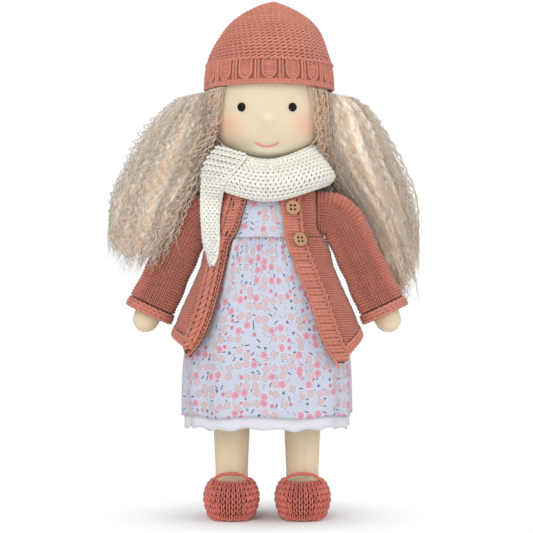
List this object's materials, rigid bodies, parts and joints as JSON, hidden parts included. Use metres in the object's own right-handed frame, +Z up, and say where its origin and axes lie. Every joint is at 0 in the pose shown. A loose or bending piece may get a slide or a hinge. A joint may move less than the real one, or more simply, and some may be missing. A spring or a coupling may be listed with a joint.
{
  "type": "waldorf doll",
  "caption": "Standing stuffed cloth doll with long loose hair, in a knitted hat, scarf, open cardigan and shoes over a flowered dress; arms, hips and neck turn.",
  "frame": {"origin": "on the floor under the middle of the doll's bounding box", "axes": "+Z up, -Y the way the face looks, +X the doll's own left"},
  "size_m": [0.2415, 0.1065, 0.4],
  "materials": {
    "cream_jersey": "fine knitted jersey, matt",
    "face_jersey": "fine knitted jersey, matt, cheeks lightly blushed",
    "wool_stuffing": "carded wool",
    "cream_thread": "strong sewing thread",
    "black_bead": "glossy",
    "pink_thread": "embroidery thread",
    "blond_net": "crocheted cap covered with strands",
    "blond_hair": "crimped fibre, soft sheen",
    "terracotta_knit": "hand-knitted wool",
    "terracotta_crochet": "crocheted wool",
    "white_knit": "chunky hand-knitted wool",
    "flowered_cloth": "printed cotton, small flowers",
    "white_cotton": "plain cotton",
    "button_wood": "smooth, satin",
    "dark_thread": "sewing thread"
  },
  "bodies": {
    "torso": {"torso_skin": "cream_jersey", "torso_stuffing": "wool_stuffing", "neck_thread": "cream_thread", "left_hip_cord": "cream_thread", "right_hip_cord": "cream_thread", "dress_bodice": "flowered_cloth", "cardigan_back": "terracotta_knit", "cardigan_left_front": "terracotta_knit", "cardigan_right_front": "terracotta_knit", "left_front_band": "terracotta_knit", "right_front_band": "terracotta_knit", "upper_button": "button_wood", "upper_button_thread": "dark_thread", "lower_button": "button_wood", "lower_button_thread": "dark_thread", "scarf_wrap": "white_knit", "scarf_tail": "white_knit"},
    "head": {"head_skin": "face_jersey", "head_stuffing": "wool_stuffing", "nose_bead": "wool_stuffing", "left_eye": "black_bead", "right_eye": "black_bead", "mouth_stitch": "pink_thread", "wig_cap": "blond_net", "hair_left": "blond_hair", "hair_right": "blond_hair", "hair_back": "blond_hair"},
    "hat": {"hat_brim": "terracotta_knit", "hat_crown": "terracotta_knit"},
    "left_arm": {"left_arm_skin": "cream_jersey", "left_arm_stuffing": "wool_stuffing", "left_sleeve": "terracotta_knit", "left_cuff": "terracotta_knit"},
    "right_arm": {"right_arm_skin": "cream_jersey", "right_arm_stuffing": "wool_stuffing", "right_sleeve": "terracotta_knit", "right_cuff": "terracotta_knit"},
    "skirt": {"dress_skirt": "flowered_cloth", "underskirt": "white_cotton"},
    "left_leg": {"left_leg_skin": "cream_jersey", "left_leg_stuffing": "wool_stuffing", "left_shoe_sole": "terracotta_crochet", "left_shoe_upper": "terracotta_crochet", "left_shoe_strap": "terracotta_crochet"},
    "right_leg": {"right_leg_skin": "cream_jersey", "right_leg_stuffing": "wool_stuffing", "right_shoe_sole": "terracotta_crochet", "right_shoe_upper": "terracotta_crochet", "right_shoe_strap": "terracotta_crochet"}
  },
  "joints": [
    {"name": "head_turn", "type": "hinge", "parent": "torso", "child": "head", "pos_m": [0, 0, 0.2745], "axis": [0, 0, 1], "range_deg": [-35, 35], "deforming": ["hair_left", "hair_right", "hair_back"]},
    {"name": "hat_lift", "type": "slide", "parent": "head", "child": "hat", "axis": [0, 0, 1], "range_m": [0, 0.09]},
    {"name": "left_arm_swing", "type": "hinge", "parent": "torso", "child": "left_arm", "pos_m": [0.0386, 0, 0.2356], "axis": [-1, 0, 0], "range_deg": [-15, 100]},
    {"name": "right_arm_swing", "type": "hinge", "parent": "torso", "child": "right_arm", "pos_m": [-0.0386, 0, 0.2356], "axis": [-1, 0, 0], "range_deg": [-15, 100], "deforming": ["scarf_tail"]},
    {"name": "sit_fold", "type": "hinge", "parent": "torso", "child": "skirt", "pos_m": [0, 0, 0.162], "axis": [-1, 0, 0], "range_deg": [0, 75], "deforming": ["dress_skirt", "underskirt", "cardigan_left_front", "cardigan_right_front", "left_front_band", "right_front_band"]},
    {"name": "left_leg_swing", "type": "hinge", "parent": "skirt", "child": "left_leg", "pos_m": [0.0275, 0, 0.162], "axis": [-1, 0, 0], "range_deg": [-12, 12]},
    {"name": "right_leg_swing", "type": "hinge", "parent": "skirt", "child": "right_leg", "pos_m": [-0.0275, 0, 0.162], "axis": [-1, 0, 0], "range_deg": [-12, 12]}
  ]
}
